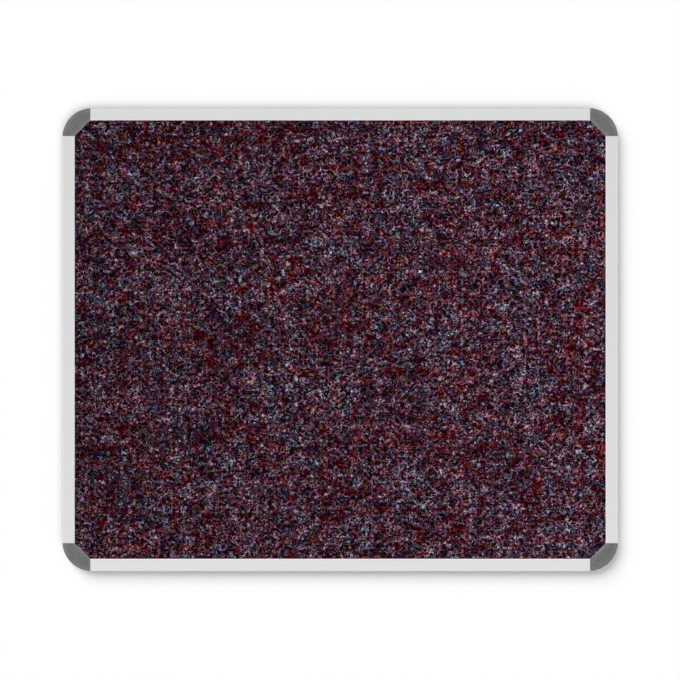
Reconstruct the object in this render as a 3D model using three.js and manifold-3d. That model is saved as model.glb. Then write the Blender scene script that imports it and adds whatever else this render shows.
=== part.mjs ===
// A felt-faced pinboard in an aluminium frame with plastic corners, made to be screwed to a wall.
//
// The board is drawn as it is seen from the front: x runs right, y up and z towards the viewer, with
// z = 0 on the wall. The last lines stand it up, so that z points up and the felt faces -y. The origin
// is the middle of the plane where the frame touches the wall. All lengths are in millimetres.
import * as THREE from "three";
import { mergeVertices } from "three/addons/utils/BufferGeometryUtils.js";
import Module from "manifold-3d";

const wasm = await Module();
wasm.setup();

// Overall size, over the frame
const boardWidth = 1200;
const boardHeight = 1000;

// Clearances shared by the whole board
const seatGap = 0.3;
const glueLine = 0.3;
const cutOverrun = 1;

// Aluminium rail: a box against the wall, a lip over the felt and a lip behind the board
const railFace = 26.5;
const railWall = 1.4;
const railBoxWidth = 14;
const railFrontRound = 2.5;
const railBackRound = 0.8;
const frontLipBevel = 1.2;
const rearLipReach = 8;
const rearLipRecess = 1.5;

// Panel that the rails hold: felt on softboard on a hardboard back
const feltPressed = 3;
const feltRise = 0.9;
const feltEdgeGap = 0.8;
const coreThickness = 9;
const backingThickness = 2.5;
const panelEdgeGap = 0.5;

// Corners: how far each one reaches along the rails, and how round it is
const cornerLeg = 60;
const cornerTail = 3;

// Clip-on cover of a corner
const coverPlate = 2;
const coverProud = 0.6;
const coverSkirt = 1.8;
const coverRound = 1.6;
const coverOverFelt = 7.4;
const coverSlopeWidth = 6;
const coverSlopeDrop = 1;
const prySlotWidth = 10;
const prySlotHeight = 1.2;

// Two pins hold each cover
const pinRadius = 2;
const pinBeadRadius = 2.2;
const pinBeadHeight = 1.6;
const pinLength = 10.5;
const pinFromJoint = 13;
const pinFromEdge = 14;

// Corner bracket, which joins two rails and takes the wall screw
const bracketSideHeight = 8;
const bracketWall = 1.8;
const bracketFloor = 2.9;
const bossRadius = 8.5;
const bossHeight = 9;
const wallScrewInset = 28;
const wallScrewHoleRadius = 3.25;
const wallScrewSeatRadius = 6;
const wallScrewSeatDepth = 2;
const socketWall = 1.5;
const socketHeight = 14;
const ribThickness = 1.8;
const ribHeight = 6;

// Bracket legs, which slide into the rails
const legLength = 45;
const legWall = 2;
const legFloor = 2.6;
const legTip = 2.4;
const legRibs = 2;

// Self-tapping screw through the back of a rail into a leg
const screwFromJoint = 18;
const screwHeadRadius = 3.3;
const screwHeadHeight = 1.8;
const screwDomeShares = [[0, 0], [0.6, 0.12], [0.9, 0.45], [1, 1]];
const screwHeadRecess = 0.3;
const screwShankRadius = 1.6;
const screwLength = 9;
const screwTip = 2.4;
const screwDriveLength = 3.4;
const screwDriveWidth = 0.8;
const screwDriveDepth = 1;

// Facets
const arcSegments = 12;
const roundSegments = 4;
const holeSegments = 16;
const mergeDistance = 1e-4;

// Depths from the wall, worked out from back to front
const backingBack = rearLipRecess + railWall + seatGap;
const backingFront = backingBack + backingThickness;
const coreBack = backingFront + glueLine;
const coreFront = coreBack + coreThickness;
const feltBack = coreFront + glueLine;
const feltMargin = feltBack + feltPressed;
const feltFront = feltMargin + feltRise;
const lipUnderside = feltMargin + seatGap;
const railDepth = lipUnderside + railWall;
const coverTop = railDepth + coverProud;
const coverUnderside = coverTop - coverPlate;
const skirtEdge = bracketSideHeight + seatGap;
const bracketTop = coverUnderside - seatGap;

// Rail chamber, where the bracket's legs go, and the channel behind it for the screw heads
const channelDepth = screwHeadHeight + seatGap + screwHeadRecess;
const chamberBack = channelDepth + railWall;
const chamberFront = railDepth - railWall;
const chamberMiddle = railBoxWidth / 2;

// Corner lines, as distances from the two outer edges of the board
const root2 = Math.SQRT2;
const cornerRadius = cornerLeg + cornerTail;
const coverDiagonal = railFace + cornerLeg;
const panelDiagonal = coverDiagonal - coverOverFelt * root2;
const bracketDiagonal = panelDiagonal - panelEdgeGap * root2;
const bracketInset = coverSkirt + seatGap;
const socketBore = pinBeadRadius + seatGap;
const railStart = cornerLeg + seatGap;
const screwAlong = railStart + screwFromJoint;
const pinAlong = cornerLeg - pinFromJoint;

// Materials
const aluminium = new THREE.MeshStandardMaterial({ color: 0xd9dbdb, roughness: 0.45, metalness: 0.6 });
const greyPlastic = new THREE.MeshStandardMaterial({ color: 0x6e6f6e, roughness: 0.6, metalness: 0 });
const felt = new THREE.MeshStandardMaterial({ color: 0x422a35, roughness: 1, metalness: 0 });
const softboard = new THREE.MeshStandardMaterial({ color: 0xa98a63, roughness: 0.95, metalness: 0 });
const hardboard = new THREE.MeshStandardMaterial({ color: 0x6b4630, roughness: 0.8, metalness: 0 });
const zincPlated = new THREE.MeshStandardMaterial({ color: 0xb9bcc0, roughness: 0.35, metalness: 1 });

// A closed geometry as a solid that can be joined and cut
function solid(geometry) {
  const bare = new THREE.BufferGeometry();
  const loose = geometry.index ? geometry.toNonIndexed() : geometry;
  bare.setAttribute("position", loose.getAttribute("position"));
  const merged = mergeVertices(bare, mergeDistance);
  const mesh = new wasm.Mesh({
    numProp: 3,
    vertProperties: merged.attributes.position.array,
    triVerts: new Uint32Array(merged.index.array),
  });
  return new wasm.Manifold(mesh);
}

// A solid back as a geometry, with flat faces
function geometryOf(made) {
  const mesh = made.getMesh();
  const geometry = new THREE.BufferGeometry();
  geometry.setAttribute("position", new THREE.BufferAttribute(mesh.vertProperties, mesh.numProp));
  geometry.setIndex(new THREE.BufferAttribute(mesh.triVerts, 1));
  const flat = geometry.toNonIndexed();
  flat.computeVertexNormals();
  return flat;
}

function join(first, ...others) {
  return others.reduce((whole, piece) => whole.add(piece), first);
}

function cut(first, ...others) {
  return others.reduce((whole, piece) => whole.subtract(piece), first);
}

// An outline of [x, y] points as a shape
function outlineOf(points) {
  return new THREE.Shape(points.map(([x, y]) => new THREE.Vector2(x, y)));
}

// A flat outline made thick, from one depth to another
function prism(shape, from, to) {
  const geometry = new THREE.ExtrudeGeometry(shape, {
    depth: to - from,
    bevelEnabled: false,
    curveSegments: arcSegments,
  });
  return solid(geometry.translate(0, 0, from));
}

// A box between two corners
function block([x0, y0, z0], [x1, y1, z1]) {
  const geometry = new THREE.BoxGeometry(x1 - x0, y1 - y0, z1 - z0);
  return solid(geometry.translate((x0 + x1) / 2, (y0 + y1) / 2, (z0 + z1) / 2));
}

// A round bar along z
function rod(radius, [x, y], from, to) {
  const geometry = new THREE.CylinderGeometry(radius, radius, to - from, holeSegments);
  geometry.rotateX(Math.PI / 2);
  return solid(geometry.translate(x, y, (from + to) / 2));
}

// A profile of [radius, depth] points, from its lowest point up, turned round the z axis through a point
function turned(profile, [x, y], segments = holeSegments) {
  const points = profile.map(([radius, depth]) => new THREE.Vector2(radius, depth));
  const geometry = new THREE.LatheGeometry(points, segments);
  geometry.rotateX(Math.PI / 2);
  return solid(geometry.translate(x, y, 0));
}

function swapped([x, y]) {
  return [y, x];
}

// The plan of a corner piece: a round outside set in from the board's edge, two square ends at the
// rails, and a straight side across the felt where the distances from the two edges add up to a sum
function cornerPlan(inset, leg, sum) {
  const radius = cornerRadius - inset;
  const half = Math.asin((cornerRadius - leg) / radius);
  const shape = new THREE.Shape();
  shape.absarc(cornerRadius, cornerRadius, radius, Math.PI + half, 1.5 * Math.PI - half, false);
  shape.lineTo(leg, sum - leg);
  shape.lineTo(sum - leg, leg);
  shape.closePath();
  return shape;
}

// Frame rail: the extrusion's section, with the distance from the board's edge along x and the
// distance from the wall along y
function railSection() {
  const rearLipFront = backingBack - seatGap;
  const shape = new THREE.Shape();
  shape.moveTo(railBackRound, 0);
  shape.lineTo(railWall, 0);
  shape.lineTo(railWall, channelDepth);
  shape.lineTo(railBoxWidth - railWall, channelDepth);
  shape.lineTo(railBoxWidth - railWall, 0);
  shape.lineTo(railBoxWidth, 0);
  shape.lineTo(railBoxWidth, rearLipRecess);
  shape.lineTo(railBoxWidth + rearLipReach, rearLipRecess);
  shape.lineTo(railBoxWidth + rearLipReach, rearLipFront);
  shape.lineTo(railBoxWidth, rearLipFront);
  shape.lineTo(railBoxWidth, lipUnderside);
  shape.lineTo(railFace, lipUnderside);
  shape.lineTo(railFace, railDepth - frontLipBevel);
  shape.lineTo(railFace - frontLipBevel, railDepth);
  shape.absarc(railFrontRound, railDepth - railFrontRound, railFrontRound, Math.PI / 2, Math.PI, false);
  shape.absarc(railBackRound, railBackRound, railBackRound, Math.PI, 1.5 * Math.PI, false);
  const chamber = new THREE.Path();
  chamber.moveTo(railWall, chamberBack);
  chamber.lineTo(railWall, chamberFront - railFrontRound + railWall);
  chamber.lineTo(railFrontRound, chamberFront);
  chamber.lineTo(railBoxWidth - railWall, chamberFront);
  chamber.lineTo(railBoxWidth - railWall, chamberBack);
  chamber.closePath();
  shape.holes.push(chamber);
  return shape;
}

// A rail along x, between the two corners that are a run apart
function railGeometry(run) {
  const geometry = new THREE.ExtrudeGeometry(railSection(), {
    depth: run - 2 * railStart,
    bevelEnabled: false,
    curveSegments: roundSegments,
  });
  const along = new THREE.Matrix4().makeBasis(
    new THREE.Vector3(0, 1, 0),
    new THREE.Vector3(0, 0, 1),
    new THREE.Vector3(1, 0, 0),
  );
  geometry.applyMatrix4(along).translate(railStart, 0, 0);
  const holes = [screwAlong, run - screwAlong].map((x) => {
    const from = channelDepth - cutOverrun;
    return rod(screwShankRadius + seatGap, [x, chamberMiddle], from, chamberBack + cutOverrun);
  });
  return geometryOf(cut(solid(geometry), ...holes));
}

// Panel layer: a rectangle with its corners clipped, set in from the board's edge
function panelPlan(inset, sum) {
  const right = boardWidth / 2 - inset;
  const top = boardHeight / 2 - inset;
  const clip = sum - 2 * inset;
  return outlineOf([
    [clip - right, -top],
    [right - clip, -top],
    [right, clip - top],
    [right, top - clip],
    [right - clip, top],
    [clip - right, top],
    [-right, top - clip],
    [-right, clip - top],
  ]);
}

function panelLayer(from, to) {
  return prism(panelPlan(railBoxWidth + panelEdgeGap, panelDiagonal), from, to);
}

// Felt: pressed thin under the lips, and standing up a little between them
function feltGeometry() {
  const raised = panelPlan(railFace + feltEdgeGap, coverDiagonal + feltEdgeGap * root2);
  return geometryOf(join(panelLayer(feltBack, feltMargin), prism(raised, feltBack, feltFront)));
}

// One leg of a bracket, along x or swapped to run along y: an open trough with ribs across it
function bracketLeg(turn) {
  const side = railWall + seatGap;
  const far = railBoxWidth - side;
  const root = cornerLeg - bracketWall;
  const shoulder = bracketInset + bracketWall / 2;
  const end = cornerLeg + legLength;
  const back = chamberBack + seatGap;
  const front = chamberFront - seatGap;
  const body = [
    [root, shoulder],
    [cornerLeg, shoulder],
    [cornerLeg, side],
    [end - legTip, side],
    [end, side + legTip],
    [end, far - legTip],
    [end - legTip, far],
    [root, far],
  ];
  const corner = railFrontRound - railWall;
  const relief = [
    [root, 0],
    [end + cutOverrun, 0],
    [end + cutOverrun, side + corner],
    [root, side + corner],
  ];
  const pocketStart = cornerLeg + legWall;
  const pocketRun = end - legTip - legWall - pocketStart;
  const pocketLength = (pocketRun - legRibs * legWall) / (legRibs + 1);
  const pockets = [];
  for (let i = 0; i <= legRibs; i++) {
    const x = pocketStart + i * (pocketLength + legWall);
    pockets.push([
      [x, side + legWall],
      [x + pocketLength, side + legWall],
      [x + pocketLength, far - legWall],
      [x, far - legWall],
    ]);
  }
  const plan = (points) => outlineOf(points.map(turn));
  const screwAt = turn([screwAlong, chamberMiddle]);
  return cut(
    prism(plan(body), back, front),
    prism(plan(relief), front - corner, front + cutOverrun),
    ...pockets.map((points) => prism(plan(points), back + legFloor, front + cutOverrun)),
    rod(screwShankRadius + seatGap, screwAt, back - cutOverrun, back + legFloor + cutOverrun),
  );
}

// Corner bracket: a tray against the wall, with a boss for the wall screw, two sockets for the
// cover's pins and a leg into each rail
function bracketGeometry() {
  const innerInset = bracketInset + bracketWall;
  const innerLeg = cornerLeg - bracketWall;
  const innerDiagonal = bracketDiagonal - bracketWall * root2;
  const hub = [wallScrewInset, wallScrewInset];
  const sockets = [[pinAlong, pinFromEdge], [pinFromEdge, pinAlong]];
  const floor = prism(cornerPlan(0, cornerLeg, coverDiagonal), 0, bracketFloor);
  // The rim ends inside the wall, so that the two make one solid without a hairline between them
  const rimInset = bracketInset + bracketWall / 2;
  const side = cut(
    prism(cornerPlan(0, cornerLeg, bracketDiagonal), 0, bracketSideHeight),
    prism(cornerPlan(rimInset, cornerLeg + cutOverrun, bracketDiagonal), bracketFloor, bracketTop),
  );
  const wall = cut(
    prism(cornerPlan(bracketInset, cornerLeg, bracketDiagonal), 0, bracketTop),
    prism(cornerPlan(innerInset, innerLeg, innerDiagonal), bracketFloor, bracketTop + cutOverrun),
  );
  const ribs = [(p) => p, swapped].map((turn) => {
    const near = wallScrewInset - ribThickness / 2;
    const far = wallScrewInset + ribThickness / 2;
    const end = (innerDiagonal + bracketDiagonal) / 2 - wallScrewInset;
    const points = [
      [wallScrewInset, near],
      [end, near],
      [end, far],
      [wallScrewInset, far],
    ];
    return prism(outlineOf(points.map(turn)), 0, ribHeight);
  });
  const tray = join(
    floor,
    side,
    wall,
    rod(bossRadius, hub, 0, bossHeight),
    ...sockets.map((at) => rod(socketBore + socketWall, at, 0, socketHeight)),
    ...ribs,
    bracketLeg((p) => p),
    bracketLeg(swapped),
  );
  return geometryOf(
    cut(
      tray,
      rod(wallScrewHoleRadius, hub, -cutOverrun, bossHeight + cutOverrun),
      rod(wallScrewSeatRadius, hub, bossHeight - wallScrewSeatDepth, bossHeight + cutOverrun),
      ...sockets.map((at) => rod(socketBore, at, bracketFloor, socketHeight + cutOverrun)),
    ),
  );
}

// Cover pin: a round stem with a bead near its tip, which clicks into a bracket socket
function coverPin(at) {
  const tip = coverUnderside - pinLength;
  const bead = tip + pinBeadHeight;
  const profile = [
    [0, tip],
    [pinRadius - (pinBeadRadius - pinRadius), tip],
    [pinBeadRadius, tip + pinBeadHeight / 2],
    [pinRadius, bead],
    [pinRadius, coverUnderside + coverPlate / 2],
    [0, coverUnderside + coverPlate / 2],
  ];
  return turned(profile, at);
}

// Corner cover: a plate with a skirt round its outside, sloping down a little to both of its long sides
function coverGeometry() {
  const slopeTop = coverTop - coverSlopeDrop;
  const profile = [[0, skirtEdge], [cornerRadius, skirtEdge]];
  for (let i = 0; i <= roundSegments; i++) {
    const turn = (i * Math.PI) / (2 * roundSegments);
    const inwards = coverRound * (1 - Math.cos(turn));
    const upwards = coverRound * Math.sin(turn);
    profile.push([cornerRadius - inwards, slopeTop - coverRound + upwards]);
  }
  profile.push([cornerRadius - coverRound - coverSlopeWidth, coverTop], [0, coverTop]);
  const inside = [
    [0, 0],
    [cornerRadius - coverSkirt, 0],
    [cornerRadius - coverSkirt, coverUnderside],
    [0, coverUnderside],
  ];
  const middle = [cornerRadius, cornerRadius];
  const wholeTurn = 8 * arcSegments;
  const ends = [
    [-cutOverrun, -cutOverrun],
    [cornerLeg, -cutOverrun],
    [cornerLeg, coverDiagonal - cornerLeg],
    [coverDiagonal - cornerLeg, cornerLeg],
    [-cutOverrun, cornerLeg],
  ];
  // The slope along the straight side is a wedge drawn along x and turned to lie across the corner
  const edge = coverDiagonal / root2;
  const steep = coverSlopeDrop / coverSlopeWidth;
  const wedge = new THREE.ExtrudeGeometry(
    outlineOf([
      [edge - coverSlopeWidth, coverTop],
      [edge + cutOverrun, slopeTop - cutOverrun * steep],
      [edge + cutOverrun, coverTop + cutOverrun],
      [edge - coverSlopeWidth, coverTop + cutOverrun],
    ]),
    { depth: 2 * cornerLeg, bevelEnabled: false },
  );
  wedge.translate(0, 0, -cornerLeg).rotateX(Math.PI / 2).rotateZ(Math.PI / 4);
  const slot = new THREE.BoxGeometry(2 * (coverSkirt + cutOverrun), prySlotWidth, 2 * prySlotHeight);
  const arcMiddle = cornerRadius - cornerRadius / root2;
  slot.rotateZ(Math.PI / 4).translate(arcMiddle, arcMiddle, skirtEdge);
  const shell = cut(
    turned(profile, middle, wholeTurn).intersect(prism(outlineOf(ends), 0, coverTop + cutOverrun)),
    turned(inside, middle, wholeTurn),
    solid(wedge),
    solid(slot),
  );
  const pins = [[pinAlong, pinFromEdge], [pinFromEdge, pinAlong]].map(coverPin);
  return geometryOf(join(shell, ...pins));
}

// Self-tapping screw with a low domed head, driven from behind
function screwGeometry(at) {
  const seat = channelDepth - seatGap;
  const head = seat - screwHeadHeight;
  const end = seat + screwLength;
  const profile = [
    ...screwDomeShares.map(([out, up]) => [out * screwHeadRadius, head + up * screwHeadHeight]),
    [screwShankRadius, seat],
    [screwShankRadius, end - screwTip],
    [0, end],
  ];
  const [x, y] = at;
  const arm = screwDriveLength / 2;
  const half = screwDriveWidth / 2;
  return geometryOf(
    cut(
      turned(profile, at),
      block([x - arm, y - half, head - cutOverrun], [x + arm, y + half, head + screwDriveDepth]),
      block([x - half, y - arm, head - cutOverrun], [x + half, y + arm, head + screwDriveDepth]),
    ),
  );
}

function named(name, geometry, material) {
  const mesh = new THREE.Mesh(geometry, material);
  mesh.name = name;
  return mesh;
}

// Assembly: the panel in the middle, and one group for each corner with the rail that starts there
const front = new THREE.Group();
front.add(named("felt_facing", feltGeometry(), felt));
front.add(named("softboard_core", geometryOf(panelLayer(coreBack, coreFront)), softboard));
front.add(named("hardboard_backing", geometryOf(panelLayer(backingBack, backingFront)), hardboard));

const corners = [
  { name: "bottom_left", side: [-1, -1], rail: "bottom", endOf: "left", run: boardWidth },
  { name: "bottom_right", side: [1, -1], rail: "right", endOf: "bottom", run: boardHeight },
  { name: "top_right", side: [1, 1], rail: "top", endOf: "right", run: boardWidth },
  { name: "top_left", side: [-1, 1], rail: "left", endOf: "top", run: boardHeight },
];
corners.forEach(({ name, side: [right, up], rail, endOf, run }, quarter) => {
  const corner = new THREE.Group();
  corner.position.set((right * boardWidth) / 2, (up * boardHeight) / 2, 0);
  corner.rotation.z = (quarter * Math.PI) / 2;
  corner.add(named(`rail_${rail}`, railGeometry(run), aluminium));
  corner.add(named(`bracket_${name}`, bracketGeometry(), greyPlastic));
  corner.add(named(`cover_${name}`, coverGeometry(), greyPlastic));
  const screwAt = [screwAlong, chamberMiddle];
  corner.add(named(`screw_${name}_in_${rail}_rail`, screwGeometry(screwAt), zincPlated));
  corner.add(named(`screw_${name}_in_${endOf}_rail`, screwGeometry(swapped(screwAt)), zincPlated));
  front.add(corner);
});

// Stood up against the wall
front.rotation.x = Math.PI / 2;
const board = new THREE.Group();
board.add(front);

export default board;
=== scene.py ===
# A felt-faced pinboard in a satin aluminium frame with grey plastic corner covers, hung on a white
# wall. The board faces -y, x runs along its long side and z points up, all in metres.
import math

import bmesh
import bpy
import numpy as np
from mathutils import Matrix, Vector


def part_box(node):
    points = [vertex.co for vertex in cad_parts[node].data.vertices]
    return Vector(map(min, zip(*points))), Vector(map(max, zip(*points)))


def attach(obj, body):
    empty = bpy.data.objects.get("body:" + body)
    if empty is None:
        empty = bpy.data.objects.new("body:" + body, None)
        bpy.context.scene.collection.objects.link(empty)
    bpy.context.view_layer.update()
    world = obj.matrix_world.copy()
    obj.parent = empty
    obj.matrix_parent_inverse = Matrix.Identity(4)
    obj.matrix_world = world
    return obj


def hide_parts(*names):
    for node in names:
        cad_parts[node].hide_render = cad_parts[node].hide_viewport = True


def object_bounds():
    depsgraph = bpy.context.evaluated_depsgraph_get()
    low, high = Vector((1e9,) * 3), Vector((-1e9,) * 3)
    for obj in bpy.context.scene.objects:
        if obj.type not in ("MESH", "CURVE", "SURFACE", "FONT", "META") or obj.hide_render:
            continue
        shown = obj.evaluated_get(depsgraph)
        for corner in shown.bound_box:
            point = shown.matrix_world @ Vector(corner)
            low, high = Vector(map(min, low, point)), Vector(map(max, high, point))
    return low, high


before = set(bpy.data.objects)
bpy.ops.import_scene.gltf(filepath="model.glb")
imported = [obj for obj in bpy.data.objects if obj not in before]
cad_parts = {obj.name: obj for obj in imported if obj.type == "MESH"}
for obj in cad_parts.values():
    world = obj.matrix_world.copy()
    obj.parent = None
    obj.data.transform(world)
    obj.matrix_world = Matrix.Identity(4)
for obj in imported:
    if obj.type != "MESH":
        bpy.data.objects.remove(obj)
cad_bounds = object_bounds()

MM = 0.001

# Places taken from the frame, as distances from the middle of the board or from the wall
board_high = Vector(cad_bounds[1])
felt_low, felt_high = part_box("felt_facing")
rail_low, rail_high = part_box("rail_bottom")
cover_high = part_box("cover_bottom_left")[1]
half_width = board_high.x
half_height = board_high.z
rail_face = rail_high.z - rail_low.z
corner_leg = half_width + cover_high.x

# Along a cover's slanted edge, the distances from the board's two outer edges add up to this
cover_sum = rail_face + corner_leg

CORNERS = ["top_left", "top_right", "bottom_left", "bottom_right"]


# Shader nodes

# A pattern is written as the size, detail, roughness and shift of its noise. Noise lies around the
# middle value, mostly within the range and rarely beyond its extremes.
NOISE_MIDDLE = 0.5
NOISE_RANGE = (0.3, 0.7)
NOISE_EXTREMES = (0.22, 0.78)

# The squeeze of a pattern that is as wide in each direction
EVEN = (1.0, 1.0, 1.0)

# The standard curve between screen levels and linear light, which is straight at its dark end
SCREEN_TOP = 255
SCREEN_BEND = 0.04045
SCREEN_SLOPE = 12.92
SCREEN_OFFSET = 0.055
SCREEN_POWER = 2.4


class Shader:
    """Short ways to add nodes to one material or world."""

    def __init__(self, owner):
        self.owner = owner
        owner.use_nodes = True
        self.tree = owner.node_tree
        self.tree.nodes.clear()

    def add(self, kind, **settings):
        node = self.tree.nodes.new(kind)
        for name, value in settings.items():
            setattr(node, name, value)
        return node

    def feed(self, socket, value):
        """Links a socket to another one, or sets it to a plain value."""
        if isinstance(value, bpy.types.NodeSocket):
            self.tree.links.new(value, socket)
        elif socket.type == "RGBA" and len(value) == 3:
            socket.default_value = (*value, 1.0)
        else:
            socket.default_value = value

    def add_fed(self, kind, *values, **settings):
        """Adds a node and feeds its first sockets in turn."""
        node = self.add(kind, **settings)
        for socket, value in zip(node.inputs, values):
            self.feed(socket, value)
        return node

    def math(self, operation, *values):
        return self.add_fed("ShaderNodeMath", *values, operation=operation).outputs[0]

    def vector(self, operation, *values):
        return self.add_fed("ShaderNodeVectorMath", *values, operation=operation).outputs[0]

    def scaled(self, vector, factor):
        node = self.add_fed("ShaderNodeVectorMath", vector, operation="SCALE")
        self.feed(node.inputs["Scale"], factor)
        return node.outputs[0]

    def split(self, vector):
        return self.add_fed("ShaderNodeSeparateXYZ", vector).outputs

    def joined(self, x, y, z):
        return self.add_fed("ShaderNodeCombineXYZ", x, y, z).outputs[0]

    def place(self):
        """The point on the piece, in metres, in the frame that the piece was modelled in."""
        return self.add("ShaderNodeTexCoord").outputs["Object"]

    def facing(self):
        """The direction that the smoothed surface faces, in the same frame."""
        return self.add("ShaderNodeTexCoord").outputs["Normal"]

    def flat_facing(self):
        """The direction that each flat face has by itself."""
        return self.add("ShaderNodeNewGeometry").outputs["True Normal"]

    def stretch(self, low, high, value, to=(0.0, 1.0), smooth=False):
        """Takes a value from one range to another and holds it at the ends."""
        node = self.add("ShaderNodeMapRange", clamp=True)
        if smooth:
            node.interpolation_type = "SMOOTHSTEP"
        for name, number in (("Value", value), ("From Min", low), ("From Max", high)):
            self.feed(node.inputs[name], number)
        self.feed(node.inputs["To Min"], to[0])
        self.feed(node.inputs["To Max"], to[1])
        return node.outputs[0]

    def noise(self, place, size, detail=0.0, rough=0.5, shift=0.0, flat=False, out="Fac"):
        """Soft lumps about one size across. A shift gives another pattern."""
        node = self.add("ShaderNodeTexNoise", noise_dimensions="2D" if flat else "3D")
        moved = self.vector("ADD", place, (shift, -shift, shift)) if shift else place
        self.feed(node.inputs["Vector"], moved)
        self.feed(node.inputs["Scale"], 1.0 / size)
        self.feed(node.inputs["Detail"], detail)
        self.feed(node.inputs["Roughness"], rough)
        return node.outputs[out]

    def swing(self, place, size, detail, reach, shift):
        """Flat noise that goes from minus to plus a reach, as far as its usual extremes."""
        wave = self.noise(place, size, detail, flat=True, shift=shift)
        return self.stretch(*NOISE_EXTREMES, wave, to=(-reach, reach))

    def ramp(self, value, stops):
        """A colour for each value between 0 and 1, from (value, colour) stops."""
        node = self.add("ShaderNodeValToRGB")
        elements = node.color_ramp.elements
        while len(elements) < len(stops):
            elements.new(1.0)
        for element, (position, colour) in zip(elements, stops):
            element.position = position
            element.color = (*colour, 1.0)
        self.feed(node.inputs[0], value)
        return node.outputs[0]

    def mix(self, factor, first, second):
        node = self.add("ShaderNodeMix", data_type="RGBA", blend_type="MIX")
        node.clamp_factor = True
        self.feed(node.inputs["Factor"], factor)
        self.feed(node.inputs["A"], first)
        self.feed(node.inputs["B"], second)
        return node.outputs["Result"]

    def laid_over(self, colour, place, layers):
        """Lays patterns over a colour, each with its squeeze, the range of noise in which it
        appears, the share that it covers at most, and its screen colour."""
        for squeeze, pattern, span, share, tone in layers:
            wave = self.noise(self.vector("MULTIPLY", place, squeeze), *pattern)
            colour = self.mix(self.stretch(*span, wave, to=(0.0, share)), colour, srgb(*tone))
        return colour

    def bump(self, height, distance, strength=1.0):
        node = self.add("ShaderNodeBump")
        self.feed(node.inputs["Height"], height)
        self.feed(node.inputs["Distance"], distance)
        self.feed(node.inputs["Strength"], strength)
        return node.outputs[0]

    def principled(self, **values):
        """The plastic, metal or cloth shader, with its sockets set by name."""
        node = self.add("ShaderNodeBsdfPrincipled")
        for name, value in values.items():
            socket = name.replace("_", " ").title().replace("Ior", "IOR")
            self.feed(node.inputs[socket], value)
        return node

    def surface(self, **values):
        """Makes the whole material such a shader."""
        output = self.add("ShaderNodeOutputMaterial")
        self.feed(output.inputs["Surface"], self.principled(**values).outputs[0])


def srgb(red, green, blue):
    """A colour written as 0 to 255 screen levels, as the shader's own linear numbers."""
    def linear(level):
        share = level / SCREEN_TOP
        if share <= SCREEN_BEND:
            return share / SCREEN_SLOPE
        return ((share + SCREEN_OFFSET) / (1 + SCREEN_OFFSET)) ** SCREEN_POWER
    return tuple(linear(level) for level in (red, green, blue))


def grey(level):
    return srgb(level, level, level)


# Felt: pale and coloured fibres that curl over a nearly black ground

# The needling drew the fibres out a little more along the board than up it
FELT_LENGTHWISE = 0.87
FELT_CROSSWISE = 1.00

FELT_DETAIL = 1.0

# The noise that curls the fibres: its size, and how far it pushes them aside
FELT_CURL_SIZE = 10 * MM
FELT_CURL_REACH = 9 * MM

# The fibres deep in the felt, in painted shade: loop size, thickness, lightness and pattern shift
FELT_DEEP_FIBRES = (5 * MM, 0.12, 0.24, 71.1)

# Each layer of yarn-thick strands over them: the same four values
FELT_STRANDS = [
    (15.0 * MM, 0.075, 0.75, 3.1),
    (13.0 * MM, 0.075, 1.00, 7.7),
    (11.0 * MM, 0.075, 0.85, 12.3),
    (8.5 * MM, 0.085, 0.95, 19.9),
]

# Painted light and shade on each strand, in patches: their size, pattern shift as so many times the
# strand's own, the noise where it is shaded and where lit, and what is left of it in shade
FELT_STRAND_LIGHT_SIZE = 8 * MM
FELT_STRAND_LIGHT_SHIFT_TIMES = 2
FELT_STRAND_LIGHT_RANGE = (0.34, 0.72)
FELT_STRAND_SHADE_LEVEL = 0.12

# Each layer of the single hairs on them: size of its loops, thickness and pattern shift
FELT_HAIRS = [
    (4.2 * MM, 0.050, 23.1),
    (3.1 * MM, 0.055, 35.7),
    (2.4 * MM, 0.060, 27.9),
    (1.7 * MM, 0.070, 39.3),
]

# The hairs are fainter in patches: size, pattern shift, and what is left of them in a patch and
# out of it
FELT_PATCH_SIZE = 3 * MM
FELT_PATCH_SHIFT = 83.3
FELT_PATCH_SHARES = (0.5, 1.0)

# How light the strands are between the hairs and on them
FELT_HAIR_RANGE = (0.51, 1.50)

# Tufts and wider clouds that are lighter or darker: size, detail, reach and pattern shift
FELT_CLOUDS = [
    (24 * MM, 2.0, 0.37, 51.3),
    (110 * MM, 3.0, 0.16, 57.7),
]

# The low end is painted shade: the holes between fibres go black over the felt's dark ground
# Screen colours from the deepest hole to the palest hair, which stands at the tallest height
FELT_TONES = [
    (0.00, (0.0, 0.0, 0.0)),
    (0.13, (0.088, 0.095, 0.093)),
    (0.30, (0.245, 0.243, 0.241)),
    (0.47, (0.413, 0.406, 0.410)),
    (0.67, (0.665, 0.675, 0.700)),
    (1.00, (0.860, 0.890, 0.930)),
]
FELT_TALLEST = 1.5

# What the dye adds to the screen red, green and blue: everywhere, in warm tufts and in lilac ones
FELT_DYE = (0.062, -0.040, 0.009)
FELT_WARMTH = (0.085, -0.031, -0.054)
FELT_LILAC = (0.018, -0.020, 0.040)

# Warm and lilac tufts, and wider warm clouds: size, detail, reach and pattern shift
FELT_WARM_TUFTS = (20 * MM, 2.0, 1.0, 41.3)
FELT_WARM_CLOUDS = (110 * MM, 2.0, 0.30, 44.6)
FELT_LILAC_TUFTS = (16 * MM, 2.0, 1.0, 47.9)

# The warm tufts are dull in some places and vivid in others: size, pattern shift, noise and
# strength at both ends
FELT_VIVID_SIZE = 21 * MM
FELT_VIVID_SHIFT = 63.9
FELT_VIVID_RANGE = (0.25, 0.75)
FELT_VIVID_LEVELS = (0.40, 1.45)

# Warm places stand out more than cold ones by this share, and are darker by the next
FELT_WARM_LEAN = 0.16
FELT_COLD_LIGHT = 0.13

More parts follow.
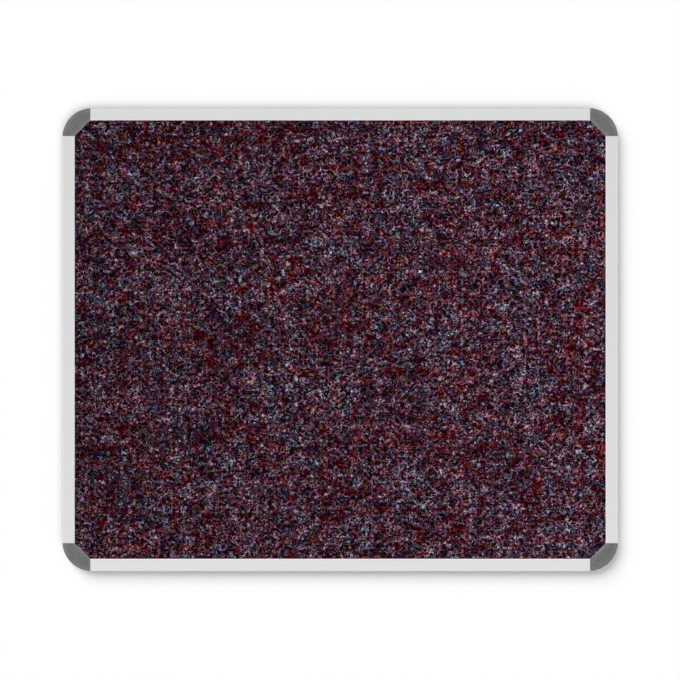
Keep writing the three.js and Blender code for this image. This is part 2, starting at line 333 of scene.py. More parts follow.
# Up to this height the warm colour grows; lower down the painted shade of the holes dulls it
FELT_WARM_SHADE_HEIGHT = 0.3
FELT_WARM_SHADE_LEVELS = (0.48, 1.04)

# The felt is a little lighter towards its right edge
FELT_RIGHTWARD_LIFT = 0.09

FELT_BLACK = 0.004
FELT_SHEEN = 0.02
FELT_RELIEF = 0.2 * MM
SCREEN_GAMMA = 2.2


def felt_material():
    material = bpy.data.materials.new("felt, mottled burgundy")
    s = Shader(material)
    x, _, z = s.split(s.place())
    along = s.math("MULTIPLY", x, FELT_LENGTHWISE)
    up = s.math("MULTIPLY", z, FELT_CROSSWISE)
    spot = s.joined(along, up, 0.0)
    push = s.noise(spot, FELT_CURL_SIZE, FELT_DETAIL, flat=True, out="Color")
    push = s.scaled(s.vector("SUBTRACT", push, (NOISE_MIDDLE,) * 3), FELT_CURL_REACH)
    curled = s.vector("ADD", spot, push)

    def from_line(size, shift):
        """How far the noise is from its middle value, which it passes along thin curling lines."""
        wave = s.noise(curled, size, FELT_DETAIL, flat=True, shift=shift)
        return s.math("ABSOLUTE", s.math("SUBTRACT", wave, NOISE_MIDDLE))

    def ridge(size, thickness, shift):
        return s.stretch(0.0, thickness, from_line(size, shift), to=(1.0, 0.0), smooth=True)

    size, thickness, lightness, shift = FELT_DEEP_FIBRES
    cover = s.stretch(0.0, thickness, from_line(size, shift), to=(lightness, 0.0))
    for size, thickness, lightness, shift in FELT_STRANDS:
        # Painted light and shade, in patches along each strand
        light_shift = FELT_STRAND_LIGHT_SHIFT_TIMES * shift
        light_patches = s.noise(spot, FELT_STRAND_LIGHT_SIZE, FELT_DETAIL, flat=True, shift=light_shift)
        painted_light = s.stretch(*FELT_STRAND_LIGHT_RANGE, light_patches, to=(FELT_STRAND_SHADE_LEVEL, lightness))
        strand = s.math("MULTIPLY", ridge(size, thickness, shift), painted_light)
        cover = s.math("MAXIMUM", cover, strand)
    hair = 0.0
    for size, thickness, shift in FELT_HAIRS:
        hair = s.math("MAXIMUM", hair, ridge(size, thickness, shift))
    patch = s.noise(spot, FELT_PATCH_SIZE, FELT_DETAIL, flat=True, shift=FELT_PATCH_SHIFT)
    patch = s.stretch(*NOISE_RANGE, patch, to=FELT_PATCH_SHARES)
    hair = s.stretch(0.0, 1.0, s.math("MULTIPLY", hair, patch), to=FELT_HAIR_RANGE)

    vivid = s.noise(spot, FELT_VIVID_SIZE, FELT_DETAIL, flat=True, shift=FELT_VIVID_SHIFT)
    vivid = s.stretch(*FELT_VIVID_RANGE, vivid, to=FELT_VIVID_LEVELS)
    warm = s.math("MULTIPLY", s.swing(spot, *FELT_WARM_TUFTS), vivid)
    warm = s.math("ADD", warm, s.swing(spot, *FELT_WARM_CLOUDS))
    warm = s.math("MULTIPLY", warm, s.math("ADD", 1.0, s.math("MULTIPLY", warm, FELT_WARM_LEAN)))
    lilac = s.swing(spot, *FELT_LILAC_TUFTS)

    cloud = s.math("SUBTRACT", 1.0, s.math("MULTIPLY", warm, FELT_COLD_LIGHT))
    for size, detail, reach, shift in FELT_CLOUDS:
        cloud = s.math("ADD", cloud, s.swing(spot, size, detail, reach, shift))
    height = s.math("MULTIPLY", s.math("MULTIPLY", cover, cloud), hair)
    # Low places, the holes between fibres, are painted dark as shade
    shade = s.ramp(s.math("DIVIDE", height, FELT_TALLEST), FELT_TONES)
    # The warm colour is dulled in the painted shade low in the felt
    warmth_by_height = s.stretch(0.0, FELT_WARM_SHADE_HEIGHT, height, to=FELT_WARM_SHADE_LEVELS)
    shade = s.vector("ADD", shade, FELT_DYE)
    shade = s.vector("ADD", shade, s.scaled(FELT_WARMTH, s.math("MULTIPLY", warm, warmth_by_height)))
    shade = s.vector("ADD", shade, s.scaled(FELT_LILAC, lilac))
    # Lighter towards the felt's right edge
    rightward = s.stretch(-half_width, half_width, x, to=(1.0 - FELT_RIGHTWARD_LIFT, 1.0 + FELT_RIGHTWARD_LIFT))
    shade = s.vector("MAXIMUM", s.scaled(shade, rightward), (FELT_BLACK,) * 3)
    s.surface(
        base_color=s.add_fed("ShaderNodeGamma", shade, SCREEN_GAMMA).outputs[0],
        roughness=1.0,
        specular_ior_level=FELT_SHEEN,
        normal=s.bump(height, FELT_RELIEF),
    )
    return material


# Aluminium: extruded, brushed by the die along its length, and anodised

# Screen level of the rails that run along each axis: the upright ones are painted darker, as shade
RAIL_LEVELS_WITH_PAINTED_SHADE = {"x": 216, "z": 213}

# The die's lines are drawn out along the rail, because their pattern is squeezed by this share
RAIL_SQUEEZE_SHARE = 0.012

# Patterns on the rails, and the range in which the broad lines appear
RAIL_LINES = (0.45 * MM, 3.0, 0.7, 0.0)
RAIL_BROAD_LINES = (3.5 * MM, 2.0, 0.5, 5.3)
RAIL_CLOUDS = (60 * MM, 2.0, 0.5, 9.1)
RAIL_BROAD_RANGE = (0.35, 0.65)

# Levels over or under the rail's own: of its darkest and palest fine lines, of its broad lines, of
# the red, green and blue of its clouds, and of the painted highlight along its margins
RAIL_LINE_STEPS = (-4, 3)
RAIL_BROAD_STEP = 5
RAIL_CLOUD_STEPS = (-3, -1, 1)
RAIL_MARGIN_HIGHLIGHT_STEP = 26
# Screen level of the painted highlight on the rounded edges
RAIL_ROUND_HIGHLIGHT_LEVEL = 252

# How much each of them covers at most
RAIL_BROAD_SHARE = 0.35
RAIL_CLOUD_SHARE = 0.25
RAIL_MARGIN_HIGHLIGHT_SHARE = 0.9
RAIL_ROUND_HIGHLIGHT_SHARE = 0.9

# Width of the margins, which carry a painted highlight, and how far a face points forward where the
# painted highlight on the round ends at the side and at the front
RAIL_MARGIN_WIDTH = 3 * MM
RAIL_ROUND_HIGHLIGHT_BACK = (0.05, 0.3)
RAIL_ROUND_HIGHLIGHT_FRONT = (0.65, 0.99)

# The metal mirrors less in its inner margin: where in it this starts and ends, and both levels
RAIL_DULL_RANGE = (0.2, 0.8)
RAIL_DULL_LEVELS = (1.0, 0.25)

RAIL_GLOSS_RANGE = (0.25, 0.75)
RAIL_GLOSS_LEVELS = (0.30, 0.42)
RAIL_LINE_DEPTH = 0.03 * MM
RAIL_LINE_STRENGTH = 0.6


def aluminium_material(along, level):
    """Satin rails. Along is the axis, x or z, that the extrusion lines run on."""
    material = bpy.data.materials.new(f"satin aluminium, lines along {along}")
    s = Shader(material)
    place = s.place()
    lengthwise = along == "x"
    squeeze = (RAIL_SQUEEZE_SHARE, 1.0, 1.0) if lengthwise else (1.0, 1.0, RAIL_SQUEEZE_SHARE)
    drawn = s.vector("MULTIPLY", place, squeeze)
    lines = s.noise(drawn, *RAIL_LINES)
    broad = s.noise(drawn, *RAIL_BROAD_LINES)
    cloud = s.noise(place, *RAIL_CLOUDS)
    x, _, z = s.split(place)
    half, from_middle = (half_height, z) if lengthwise else (half_width, x)
    margin = s.math("SUBTRACT", half, s.math("ABSOLUTE", from_middle))
    # Painted highlights along the outer and the inner margin
    outside = s.stretch(0.0, RAIL_MARGIN_WIDTH, margin, to=(1.0, 0.0))
    inside = s.stretch(rail_face - RAIL_MARGIN_WIDTH, rail_face, margin)
    margin_highlight = s.math("MAXIMUM", outside, inside)
    _, forward, _ = s.split(s.facing())
    forward = s.math("ABSOLUTE", forward)
    # A painted highlight on the rounded edges
    before_front = s.stretch(*RAIL_ROUND_HIGHLIGHT_FRONT, forward, to=(1.0, 0.0))
    round_highlight = s.math("MULTIPLY", before_front, s.stretch(*RAIL_ROUND_HIGHLIGHT_BACK, forward))

    dark_line, pale_line = (grey(level + step) for step in RAIL_LINE_STEPS)
    face = s.mix(s.stretch(*NOISE_RANGE, lines), dark_line, pale_line)
    broad = s.stretch(*RAIL_BROAD_RANGE, broad, to=(0.0, RAIL_BROAD_SHARE))
    face = s.mix(broad, face, grey(level + RAIL_BROAD_STEP))
    cloud = s.stretch(*NOISE_RANGE, cloud, to=(0.0, RAIL_CLOUD_SHARE))
    face = s.mix(cloud, face, srgb(*(level + step for step in RAIL_CLOUD_STEPS)))
    # The painted highlights go over the face colour
    margin_highlight = s.math("MULTIPLY", margin_highlight, RAIL_MARGIN_HIGHLIGHT_SHARE)
    face = s.mix(margin_highlight, face, grey(level + RAIL_MARGIN_HIGHLIGHT_STEP))
    face = s.mix(s.math("MULTIPLY", round_highlight, RAIL_ROUND_HIGHLIGHT_SHARE), face, grey(RAIL_ROUND_HIGHLIGHT_LEVEL))
    s.surface(
        base_color=face,
        metallic=s.stretch(*RAIL_DULL_RANGE, inside, to=RAIL_DULL_LEVELS),
        roughness=s.stretch(*RAIL_GLOSS_RANGE, lines, to=RAIL_GLOSS_LEVELS),
        normal=s.bump(lines, RAIL_LINE_DEPTH, RAIL_LINE_STRENGTH),
    )
    return material


# Plastics

# Screen levels of the flat faces and of the painted highlights on the rim, the slopes and the lip
# over the felt, and how much the colour wavers
COVER_TONES = {"level": 104, "rim_highlight_level": 109, "slope_highlight_level": 115, "lip_highlight_level": 142, "mottle": 0.17}
BRACKET_TONES = {"level": 92, "rim_highlight_level": 96, "slope_highlight_level": 100, "lip_highlight_level": 92, "mottle": 0.06}

# The patterns of the spark-eroded grain, of its blotches and of wider clouds
PLASTIC_PATTERNS = [
    (0.35 * MM, 2.0, 0.6, 0.0),
    (5 * MM, 2.0, 0.6, 4.4),
    (18 * MM, 1.0, 0.5, 8.8),
]

# How much of the wavering each of them makes
PLASTIC_PATTERN_SHARES = (0.6, 1.0, 0.5)

# How far a face points forward where it counts as a slope and where it counts as flat
PLASTIC_SLOPE_RANGE = (0.985, 0.997)

# How much the painted highlights on the slopes, the rim and the lip cover at most
PLASTIC_SLOPE_HIGHLIGHT_SHARE = 0.9
PLASTIC_RIM_HIGHLIGHT_SHARE = 0.5
PLASTIC_LIP_HIGHLIGHT_SHARE = 0.8
PLASTIC_RIM_HIGHLIGHT_WIDTH = 12 * MM
PLASTIC_LIP_HIGHLIGHT_WIDTH = 2.5 * MM

PLASTIC_GLOSS_LEVELS = (0.5, 0.68)
PLASTIC_SHEEN = 0.3
PLASTIC_GRAIN_DEPTH = 0.05 * MM
PLASTIC_GRAIN_STRENGTH = 0.6


def spark_plastic(name, level, rim_highlight_level, slope_highlight_level, lip_highlight_level, mottle):
    """Moulded plastic with a fine spark-eroded grain, with painted highlights on its slopes, along
    its rim and on the lip over the felt."""
    material = bpy.data.materials.new(name)
    s = Shader(material)
    place = s.place()
    x, _, z = s.split(place)
    patterns = [s.noise(place, *pattern) for pattern in PLASTIC_PATTERNS]
    grain = patterns[0]
    _, forward, _ = s.split(s.flat_facing())
    forward = s.math("ABSOLUTE", forward)
    # Painted highlight on the slopes
    slope_highlight = s.stretch(*PLASTIC_SLOPE_RANGE, forward, to=(PLASTIC_SLOPE_HIGHLIGHT_SHARE, 0.0))
    in_x = s.math("SUBTRACT", s.math("ABSOLUTE", x), half_width - corner_leg)
    in_z = s.math("SUBTRACT", s.math("ABSOLUTE", z), half_height - corner_leg)
    squares = s.math("ADD", s.math("POWER", in_x, 2.0), s.math("POWER", in_z, 2.0))
    from_middle = s.math("SQRT", squares)
    # Painted highlight along the rim
    rim_start = corner_leg - PLASTIC_RIM_HIGHLIGHT_WIDTH
    rim = s.stretch(rim_start, corner_leg, from_middle, to=(0.0, PLASTIC_RIM_HIGHLIGHT_SHARE))
    # Painted highlight on the lip over the felt
    from_lip = s.math("ADD", s.math("ADD", in_x, in_z), rail_face - corner_leg)
    lip_end = PLASTIC_LIP_HIGHLIGHT_WIDTH * math.sqrt(2)
    lip = s.stretch(0.0, lip_end, from_lip, to=(PLASTIC_LIP_HIGHLIGHT_SHARE, 0.0), smooth=True)
    colour = s.mix(rim, grey(level), grey(rim_highlight_level))
    colour = s.mix(slope_highlight, colour, grey(slope_highlight_level))
    colour = s.mix(lip, colour, grey(lip_highlight_level))
    uneven = 1.0
    for pattern, share in zip(patterns, PLASTIC_PATTERN_SHARES):
        reach = share * mottle
        uneven = s.math("ADD", uneven, s.stretch(*NOISE_RANGE, pattern, to=(-reach, reach)))
    s.surface(
        base_color=s.scaled(colour, uneven),
        roughness=s.stretch(*NOISE_RANGE, grain, to=PLASTIC_GLOSS_LEVELS),
        specular_ior_level=PLASTIC_SHEEN,
        normal=s.bump(grain, PLASTIC_GRAIN_DEPTH, PLASTIC_GRAIN_STRENGTH),
    )
    return material


# Boards behind the felt

# Hardboard: the pitch of its pressed mesh, the pattern of its fibres, and their darkest and palest
# screen colour
HARDBOARD_PITCH = 1.3 * MM
HARDBOARD_FIBRES = (1.6 * MM, 4.0, 0.7, 0.0)
HARDBOARD_TONES = ((96, 64, 42), (138, 98, 68))

# Clumps, clouds, pale flecks and dark splinters over them: squeeze, pattern, the range of noise in
# which they appear, the share that they cover at most, and screen colour
HARDBOARD_LAYERS = [
    (EVEN, (11 * MM, 4.0, 0.7, 4.9), NOISE_RANGE, 0.55, (88, 58, 40)),
    (EVEN, (120 * MM, 4.0, 0.6, 2.2), NOISE_RANGE, 0.35, (138, 102, 76)),
    (EVEN, (3.2 * MM, 3.0, 0.6, 6.6), (0.62, 0.70), 0.50, (164, 126, 92)),
    ((0.35, 1.0, 1.0), (6 * MM, 3.0, 0.7, 8.3), (0.60, 0.72), 0.50, (66, 44, 32)),
]

# Painted shade in the hollows of the mesh: the share that it darkens at most, and its screen colour
HARDBOARD_HOLLOW_SHADE_SHARE = 0.25
HARDBOARD_HOLLOW_SHADE_TONE = (60, 40, 28)

HARDBOARD_ROUGHNESS = 0.85
HARDBOARD_SHEEN = 0.2
HARDBOARD_RELIEF = 0.2 * MM
HARDBOARD_FIBRE_RELIEF_SHARE = 0.6

# Softboard: its flattened fibres, their darkest and palest screen colour, and the lumps over them
SOFTBOARD_SQUEEZE = (1.0, 3.0, 1.0)
SOFTBOARD_FIBRES = (1.4 * MM, 4.0, 0.7, 0.0)
SOFTBOARD_TONES = ((138, 108, 72), (190, 160, 118))
SOFTBOARD_LAYERS = [
    (EVEN, (6 * MM, 2.0, 0.5, 3.3), (0.4, 0.7), 0.4, (152, 120, 84)),
]
SOFTBOARD_ROUGHNESS = 0.95
SOFTBOARD_SHEEN = 0.1
SOFTBOARD_RELIEF = 0.5 * MM


def hardboard_material():
    """The screen side of hardboard: brown fibres pressed with a fine square mesh."""
    material = bpy.data.materials.new("hardboard, screen side")
    s = Shader(material)
    place = s.place()
    x, _, z = s.split(place)
    turns = 2 * math.pi / HARDBOARD_PITCH
    waves = [s.math("SINE", s.math("MULTIPLY", axis, turns)) for axis in (x, z)]
    mesh = s.stretch(-1.0, 1.0, s.math("MULTIPLY", *waves))
    fibre = s.noise(place, *HARDBOARD_FIBRES)
    dark, pale = (srgb(*tone) for tone in HARDBOARD_TONES)
    colour = s.mix(s.stretch(*NOISE_RANGE, fibre), dark, pale)
    colour = s.laid_over(colour, place, HARDBOARD_LAYERS)
    # Painted shade in the hollows of the mesh
    hollow_shade = s.stretch(0.0, 1.0, mesh, to=(HARDBOARD_HOLLOW_SHADE_SHARE, 0.0))
    colour = s.mix(hollow_shade, colour, srgb(*HARDBOARD_HOLLOW_SHADE_TONE))
    height = s.math("ADD", mesh, s.math("MULTIPLY", fibre, HARDBOARD_FIBRE_RELIEF_SHARE))
    s.surface(
        base_color=colour,
        roughness=HARDBOARD_ROUGHNESS,
        specular_ior_level=HARDBOARD_SHEEN,
        normal=s.bump(height, HARDBOARD_RELIEF),
    )
    return material


def softboard_material():
    material = bpy.data.materials.new("softboard, raw")
    s = Shader(material)
    place = s.place()
    fibre = s.noise(s.vector("MULTIPLY", place, SOFTBOARD_SQUEEZE), *SOFTBOARD_FIBRES)
    dark, pale = (srgb(*tone) for tone in SOFTBOARD_TONES)
    colour = s.mix(s.stretch(*NOISE_RANGE, fibre), dark, pale)
    s.surface(
        base_color=s.laid_over(colour, place, SOFTBOARD_LAYERS),
        roughness=SOFTBOARD_ROUGHNESS,
        specular_ior_level=SOFTBOARD_SHEEN,
        normal=s.bump(fibre, SOFTBOARD_RELIEF),
    )
    return material


# Zinc-plated screws

# The pattern of the clouds, their bluish and yellowish screen colour, and the fine scratches
ZINC_CLOUDS = (3.0 * MM, 3.0, 0.6, 0.0)
ZINC_TONES = ((186, 190, 200), (206, 202, 184))
ZINC_SQUEEZE = (1.0, 1.0, 6.0)
ZINC_SCRATCHES = (0.5 * MM, 2.0, 0.6, 7.1)
ZINC_GLOSS_LEVELS = (0.25, 0.42)
ZINC_SCRATCH_DEPTH = 0.02 * MM
ZINC_SCRATCH_STRENGTH = 0.5


def zinc_material():
    """Zinc-plated steel with a faint yellow and blue passivation."""
    material = bpy.data.materials.new("zinc plated steel")
    s = Shader(material)
    place = s.place()
    blue, yellow = (srgb(*tone) for tone in ZINC_TONES)
    scratch = s.noise(s.vector("MULTIPLY", place, ZINC_SQUEEZE), *ZINC_SCRATCHES)
    s.surface(
        base_color=s.mix(s.stretch(*NOISE_RANGE, s.noise(place, *ZINC_CLOUDS)), blue, yellow),
        metallic=1.0,
        roughness=s.stretch(*NOISE_RANGE, scratch, to=ZINC_GLOSS_LEVELS),
        normal=s.bump(scratch, ZINC_SCRATCH_DEPTH, ZINC_SCRATCH_STRENGTH),
    )
    return material


# Carried-over parts: their facets are welded, edges softened and round faces smoothed

WELD_DISTANCE = 0.002 * MM
FLAT_ANGLE = math.radians(0.3)
SHARP_ANGLE = math.radians(32)
ROUND_SEGMENTS = 2
NORMAL_WEIGHT = 80

# Width of the rounds on each kind of piece. They are smallest on the rails, whose narrowest strip,
# at the lip's edge, is 0.2 mm wide.
ROUND_WIDTHS = {
    "rail": 0.09 * MM,
    "screw": 0.1 * MM,
    "bracket": 0.15 * MM,
    "hardboard": 0.2 * MM,
    "cover": 0.25 * MM,
    "softboard": 0.3 * MM,
}


def smoothing_group():
    """Welds the loose facets and leaves an edge sharp only where the faces turn sharply."""
    group = bpy.data.node_groups.new("weld and smooth", "GeometryNodeTree")
    for direction in ("INPUT", "OUTPUT"):
        group.interface.new_socket("Geometry", in_out=direction, socket_type="NodeSocketGeometry")
    nodes, links = group.nodes, group.links
    start = nodes.new("NodeGroupInput")
    weld = nodes.new("GeometryNodeMergeByDistance")
    weld.inputs["Distance"].default_value = WELD_DISTANCE
    bare = nodes.new("GeometryNodeRemoveAttribute")
    bare.inputs["Name"].default_value = "custom_normal"
    faces = nodes.new("GeometryNodeSetShadeSmooth")
    edges = nodes.new("GeometryNodeSetShadeSmooth")
    edges.domain = "EDGE"
    angle = nodes.new("GeometryNodeInputMeshEdgeAngle")
    below = nodes.new("FunctionNodeCompare")
    below.operation = "LESS_THAN"
    below.inputs["B"].default_value = SHARP_ANGLE
    end = nodes.new("NodeGroupOutput")
    links.new(start.outputs[0], weld.inputs["Geometry"])
    links.new(weld.outputs[0], bare.inputs["Geometry"])
    links.new(bare.outputs[0], faces.inputs["Geometry"])
    links.new(faces.outputs[0], edges.inputs["Geometry"])
    links.new(angle.outputs["Unsigned Angle"], below.inputs["A"])
    links.new(below.outputs[0], edges.inputs["Shade Smooth"])
    links.new(edges.outputs[0], end.inputs[0])
    return group


def soften(node, material, smoothing):
    """Dresses a CAD piece: welded facets, a small round on its sharp edges, and its material."""
    kind = node.split("_")[0]
    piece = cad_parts[node]
    piece.data.materials.clear()
    piece.data.materials.append(material)
    weld = piece.modifiers.new("weld and smooth", "NODES")
    weld.node_group = smoothing
    flat = piece.modifiers.new("merge flat facets", "DECIMATE")
    flat.decimate_type = "DISSOLVE"
    flat.angle_limit = FLAT_ANGLE
    edge = piece.modifiers.new("soft edges", "BEVEL")
    edge.width = ROUND_WIDTHS[kind]
    edge.segments = ROUND_SEGMENTS
    edge.limit_method = "ANGLE"
    edge.angle_limit = SHARP_ANGLE
    edge.use_clamp_overlap = False
    edge.loop_slide = False
    normals = piece.modifiers.new("flat faces stay flat", "WEIGHTED_NORMAL")
    normals.mode = "FACE_AREA_WITH_ANGLE"
    normals.weight = NORMAL_WEIGHT
    normals.keep_sharp = True


def dress_frame():
    smoothing = smoothing_group()
    # The upright rails get a darker level: painted shade
    rail_metals = {axis: aluminium_material(axis, level) for axis, level in RAIL_LEVELS_WITH_PAINTED_SHADE.items()}
    cover_plastic = spark_plastic("grey plastic, cover", **COVER_TONES)
    bracket_plastic = spark_plastic("grey plastic, bracket", **BRACKET_TONES)
    zinc = zinc_material()
    for side, axis in (("top", "x"), ("bottom", "x"), ("left", "z"), ("right", "z")):
        soften(f"rail_{side}", rail_metals[axis], smoothing)
    for corner in CORNERS:
        soften(f"cover_{corner}", cover_plastic, smoothing)
        soften(f"bracket_{corner}", bracket_plastic, smoothing)
        for side in corner.split("_"):
            soften(f"screw_{corner}_in_{side}_rail", zinc, smoothing)
    soften("softboard_core", softboard_material(), smoothing)
    soften("hardboard_backing", hardboard_material(), smoothing)


# Felt sheet: lumpy on top, and pressed thin where the frame and the covers hold it down

FELT_GRID = 3.75 * MM

# The free felt stands this much higher than the pressed one, and rises to it over the shoulder
FELT_STEP = 0.9 * MM
FELT_SHOULDER = 3.5 * MM

# The grid runs aslant to a cover's edge, so the felt stays flat this far out, clear of the cover
FELT_COVER_GAP = 1.5 * MM

# Grid lines under the lip and past its edge, as shares of the shoulder. The even grid starts at the
# last one.
FELT_UNDER_LIP_SHARE = 0.2
FELT_PAST_LIP_SHARES = (0.4, 0.8)

# Each layer of lumps: size and height
FELT_LUMPS = [
    (7 * MM, 0.30 * MM),
    (14 * MM, 0.22 * MM),
]
FELT_SEED = 11

# The clipped corner of the felt lies this far behind the edge of the cover
CLIP_UNDER_COVER = 7.4 * MM
CLIP_TOLERANCE = 0.01 * MM


def smooth_step(share):
    share = np.clip(share, 0.0, 1.0)
    return share * share * (3 - 2 * share)


def lumps(x, z, size, seed):
    """Smooth random heights between -1 and 1, with one draw for each cell of a size."""
    across = (x - x.min()) / size
    up = (z - z.min()) / size
    cells = (int(up.max()) + 2, int(across.max()) + 2)
    draws = np.random.default_rng(seed).uniform(-1, 1, cells)
    column = across.astype(int)
    row = up.astype(int)
    right = smooth_step(across - column)
    above = smooth_step(up - row)
    low = draws[row, column] * (1 - right) + draws[row, column + 1] * right
    high = draws[row + 1, column] * (1 - right) + draws[row + 1, column + 1] * right
    return low * (1 - above) + high * above


def grid_lines(outer, lip):
    """Places across the felt: close together at the lip's edge and even in between."""
    under_lip = lip + FELT_UNDER_LIP_SHARE * FELT_SHOULDER
    past_lip, inner = (lip - share * FELT_SHOULDER for share in FELT_PAST_LIP_SHARES)
    near = [outer, (outer + lip) / 2, under_lip, lip, past_lip]
    count = round(2 * inner / FELT_GRID)
    middle = np.linspace(-inner, inner, count + 1)
    return np.concatenate([[-place for place in near], middle, near[::-1]])


def felt_face(x, z):
    """The y of the felt's face at each place of the grid."""
    from_side = half_width - np.abs(x)
    from_end = half_height - np.abs(z)
    from_rail = np.minimum(from_side, from_end) - rail_face
    from_cover = (from_side + from_end - cover_sum) / math.sqrt(2)
    clear = np.minimum(from_rail, from_cover - FELT_COVER_GAP)
    free = smooth_step(clear / FELT_SHOULDER)
    relief = sum(height * lumps(x, z, size, FELT_SEED + layer)
                 for layer, (size, height) in enumerate(FELT_LUMPS))
    pressed = felt_low.y + FELT_STEP
    return pressed - free * (FELT_STEP + relief)


def clip_corners(shape, clip_sum):
    """Cuts the corners off where the distances from the board's two outer edges add up to a sum."""
    for right in (-1, 1):
        for up in (-1, 1):
            outwards = Vector((right, 0, up)).normalized()
            corner = Vector((right * half_width, 0, up * (half_height - clip_sum)))
            everything = shape.verts[:] + shape.edges[:] + shape.faces[:]
            bmesh.ops.bisect_plane(shape, geom=everything, dist=CLIP_TOLERANCE, plane_co=corner,
                                   plane_no=outwards, clear_outer=True)


def close_behind(shape):
    """Gives the felt its thickness: a rim around the face and a flat back."""
    rim = [edge for edge in shape.edges if edge.is_boundary]
    skirt = bmesh.ops.extrude_edge_only(shape, edges=rim)["geom"]
    for item in skirt:
        if isinstance(item, bmesh.types.BMVert):
            item.co.y = felt_high.y
    back = [item for item in skirt if isinstance(item, bmesh.types.BMEdge) and item.is_boundary]
    bmesh.ops.holes_fill(shape, edges=back, sides=0)
    bmesh.ops.recalc_face_normals(shape, faces=shape.faces)


def felt_sheet():
    """The felt as one closed sheet, in place of the solid that stands for it in the frame."""
    lines_x = grid_lines(felt_high.x, half_width - rail_face)
    lines_z = grid_lines(felt_high.z, half_height - rail_face)
    x, z = np.meshgrid(lines_x, lines_z)
    rows, columns = x.shape
    number = np.arange(rows * columns).reshape(rows, columns)
    quads = np.stack([number[:-1, :-1], number[:-1, 1:], number[1:, 1:], number[1:, :-1]], axis=-1)
    points = np.stack([x, felt_face(x, z), z], axis=-1).reshape(-1, 3)
    mesh = bpy.data.meshes.new("felt_sheet")
    mesh.from_pydata(points.tolist(), [], quads.reshape(-1, 4).tolist())

    clip_sum = cover_sum - CLIP_UNDER_COVER * math.sqrt(2)
    shape = bmesh.new()
    shape.from_mesh(mesh)
    clip_corners(shape, clip_sum)
    close_behind(shape)
    shape.to_mesh(mesh)
    shape.free()
    mesh.shade_smooth()

    sheet = bpy.data.objects.new("felt_sheet", mesh)
    bpy.context.scene.collection.objects.link(sheet)
    mesh.materials.append(felt_material())
    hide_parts("felt_facing")
    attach(sheet, "board")


# Stage: a white wall just behind the board, a pale floor and soft light

WALL_GAP = 3 * MM
STAGE_REACH = 6.0
FLOOR_HEIGHT = -0.85
WHITE = (1.0, 1.0, 1.0)

# The floor's pattern, its darkest and palest screen level, and its glow where the camera sees it
FLOOR_PATTERN = (20 * MM, 3.0, 0.6, 0.0)
FLOOR_LEVELS = (238, 242)
FLOOR_ROUGHNESS = 0.8
FLOOR_SHEEN = 0.1
FLOOR_GLOW = 0.28

# How strongly the world lights what it reaches, and how strongly once the ray depth is over this
AMBIENT_LEVEL = 0.11
BOUNCED_LEVEL = 0.07
BOUNCED_DEPTH = 2.5

# Two wide soft lamps, which stand once in front of the board and once behind it: the level that
# each gives to a face parallel to the wall, and how many degrees it stands to the right and up
LAMPS = [
    ("key", 0.515, -33, 41),
    ("fill", 0.375, 15, -27),
]
LAMP_SPREAD = math.radians(47)

# How bright the room is that metal mirrors, from straight below to straight above
ROOM_LEVELS = [
    (0.00, 0.88),
    (0.25, 1.06),
    (0.40, 1.18),
    (0.50, 1.09),
    (0.60, 1.00),
    (0.75, 0.90),
    (1.00, 0.80),
]

# The room is dimmer far out to the sides, and behind the board, where the wall stands in the
# board's own light. A reach gives where the dimming starts and ends.
ROOM_SIDE_REACH = (0.6, 0.95)
ROOM_SIDE_LEVEL = 0.85
ROOM_BACK_REACH = (-0.15, 0.35)
ROOM_BACK_LEVEL = 0.68

# The photograph's size, and where the frame's outer edges lie in it, in pixels
PICTURE_SIZE = 680
PHOTO_LEFT = 62.8
PHOTO_RIGHT = 617.6
PHOTO_TOP = 107.7
PHOTO_BOTTOM = 571.5
SENSOR_WIDTH = 36
FOCAL_LENGTH = 100


def backdrop(name, corners, s, paint):
    """A plane that only the camera sees, from its front: it takes shadows, and neither blocks the
    lamps nor lights the board. A view from behind it looks through it."""
    choice = s.add("ShaderNodeMixShader")
    s.feed(choice.inputs[0], s.add("ShaderNodeNewGeometry").outputs["Backfacing"])
    s.feed(choice.inputs[1], paint.outputs[0])
    s.feed(choice.inputs[2], s.add("ShaderNodeBsdfTransparent").outputs[0])
    s.feed(s.add("ShaderNodeOutputMaterial").inputs["Surface"], choice.outputs[0])
    mesh = bpy.data.meshes.new(name)
    mesh.from_pydata(corners, [], [(0, 1, 2, 3)])
    mesh.materials.append(s.owner)
    made = bpy.data.objects.new(name, mesh)
    made.visible_diffuse = False
    made.visible_glossy = False
    made.visible_transmission = False
    made.visible_shadow = False
    bpy.context.scene.collection.objects.link(made)


def add_wall():
    s = Shader(bpy.data.materials.new("wall paint"))
    paint = s.add("ShaderNodeBsdfDiffuse")
    s.feed(paint.inputs["Color"], WHITE)
    r, y, low = STAGE_REACH, WALL_GAP, FLOOR_HEIGHT
    backdrop("wall", [(-r, y, low), (r, y, low), (r, y, r), (-r, y, r)], s, paint)


def add_floor():
    s = Shader(bpy.data.materials.new("floor paint"))
    fine = s.noise(s.place(), *FLOOR_PATTERN)
    dark, pale = (grey(level) for level in FLOOR_LEVELS)
    seen = s.add("ShaderNodeLightPath").outputs["Is Camera Ray"]
    paint = s.principled(
        base_color=s.mix(s.stretch(*NOISE_RANGE, fine), dark, pale),
        roughness=FLOOR_ROUGHNESS,
        specular_ior_level=FLOOR_SHEEN,
        emission_color=WHITE,
        emission_strength=s.math("MULTIPLY", seen, FLOOR_GLOW),
    )
    r, z = STAGE_REACH, FLOOR_HEIGHT
    backdrop("floor", [(-r, -r, z), (r, -r, z), (r, r, z), (-r, r, z)], s, paint)


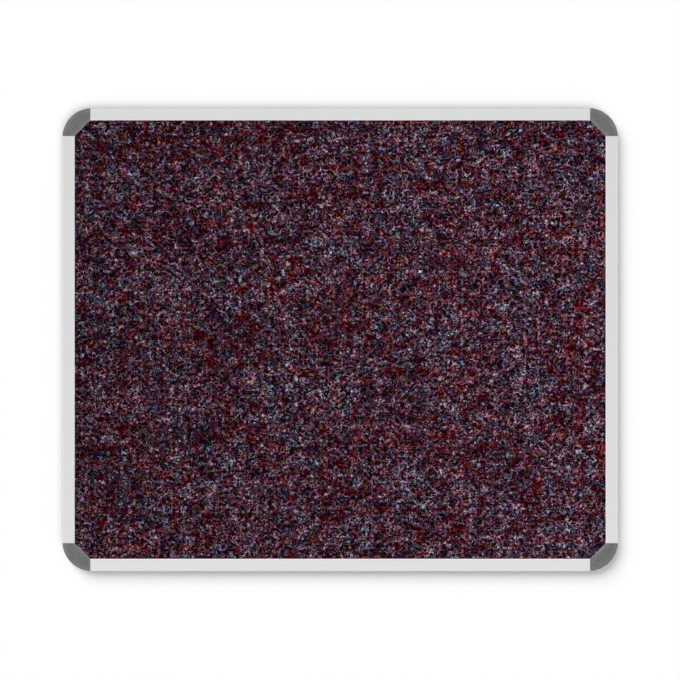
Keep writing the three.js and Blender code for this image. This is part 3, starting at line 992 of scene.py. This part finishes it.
def add_world():
    """White where it is seen, and weak as a light. Little of it comes by way of a second surface,
    so that the frame's bright sides leave its shadow on the wall alone."""
    world = bpy.data.worlds.new("studio")
    world.cycles.sampling_method = "NONE"
    bpy.context.scene.world = world
    s = Shader(world)
    path = s.add("ShaderNodeLightPath").outputs
    to_side, to_back, up = s.split(s.add("ShaderNodeTexCoord").outputs["Generated"])
    stops = [(place, (level,) * 3) for place, level in ROOM_LEVELS]
    from_floor = s.ramp(s.stretch(-1.0, 1.0, up), stops)
    to_side = s.math("ABSOLUTE", to_side)
    side = s.stretch(*ROOM_SIDE_REACH, to_side, to=(1.0, ROOM_SIDE_LEVEL), smooth=True)
    behind = s.stretch(*ROOM_BACK_REACH, to_back, to=(1.0, ROOM_BACK_LEVEL), smooth=True)
    room = s.scaled(from_floor, s.math("MULTIPLY", side, behind))
    mirrored = s.math("MAXIMUM", path["Is Glossy Ray"], path["Is Transmission Ray"])
    seen = s.math("MAXIMUM", path["Is Camera Ray"], mirrored)
    bounced = s.math("GREATER_THAN", path["Ray Depth"], BOUNCED_DEPTH)
    direct = s.math("MAXIMUM", seen, AMBIENT_LEVEL)
    strength = s.stretch(0.0, 1.0, bounced, to=(direct, BOUNCED_LEVEL))
    background = s.add("ShaderNodeBackground")
    s.feed(background.inputs["Color"], s.mix(mirrored, WHITE, room))
    s.feed(background.inputs["Strength"], strength)
    s.feed(s.add("ShaderNodeOutputWorld").inputs["Surface"], background.outputs[0])


def add_lamp(name, level, right, up, facing):
    """Even soft light from a wide far source, in front of the wall or, with facing 1, behind it."""
    data = bpy.data.lights.new(name, "SUN")
    data.angle = LAMP_SPREAD
    aside, above = (math.tan(math.radians(degrees)) for degrees in (right, up))
    towards = Vector((aside, facing, above)).normalized()
    data.energy = math.pi * level / abs(towards.y)
    light = bpy.data.objects.new(name, data)
    light.rotation_euler = towards.to_track_quat("Z", "Y").to_euler()
    light.visible_glossy = False
    bpy.context.scene.collection.objects.link(light)


def add_camera():
    """Square on, with the board as large and as central as it is in the photograph."""
    # The photograph is 0.3 per cent taller than the board's shape, so both directions set the scale
    by_width = 2 * half_width / (PHOTO_RIGHT - PHOTO_LEFT)
    by_height = 2 * half_height / (PHOTO_BOTTOM - PHOTO_TOP)
    metres_per_pixel = (by_width + by_height) / 2
    data = bpy.data.cameras.new("camera")
    data.sensor_width = SENSOR_WIDTH
    data.lens = FOCAL_LENGTH
    distance = PICTURE_SIZE * metres_per_pixel * data.lens / data.sensor_width
    right = (PICTURE_SIZE - PHOTO_LEFT - PHOTO_RIGHT) / 2 * metres_per_pixel
    up = (PHOTO_TOP + PHOTO_BOTTOM - PICTURE_SIZE) / 2 * metres_per_pixel
    camera = bpy.data.objects.new("camera", data)
    camera.location = (right, rail_low.y - distance, up)
    camera.rotation_euler = (math.pi / 2, 0, 0)
    bpy.context.scene.collection.objects.link(camera)
    bpy.context.scene.camera = camera


def add_stage():
    add_wall()
    add_floor()
    add_world()
    for name, level, right, up in LAMPS:
        add_lamp(f"{name} in front", level, right, up, -1)
        add_lamp(f"{name} behind", level, right, up, 1)
    add_camera()
    bpy.context.scene.view_settings.view_transform = "Standard"


add_stage()
dress_frame()
felt_sheet()
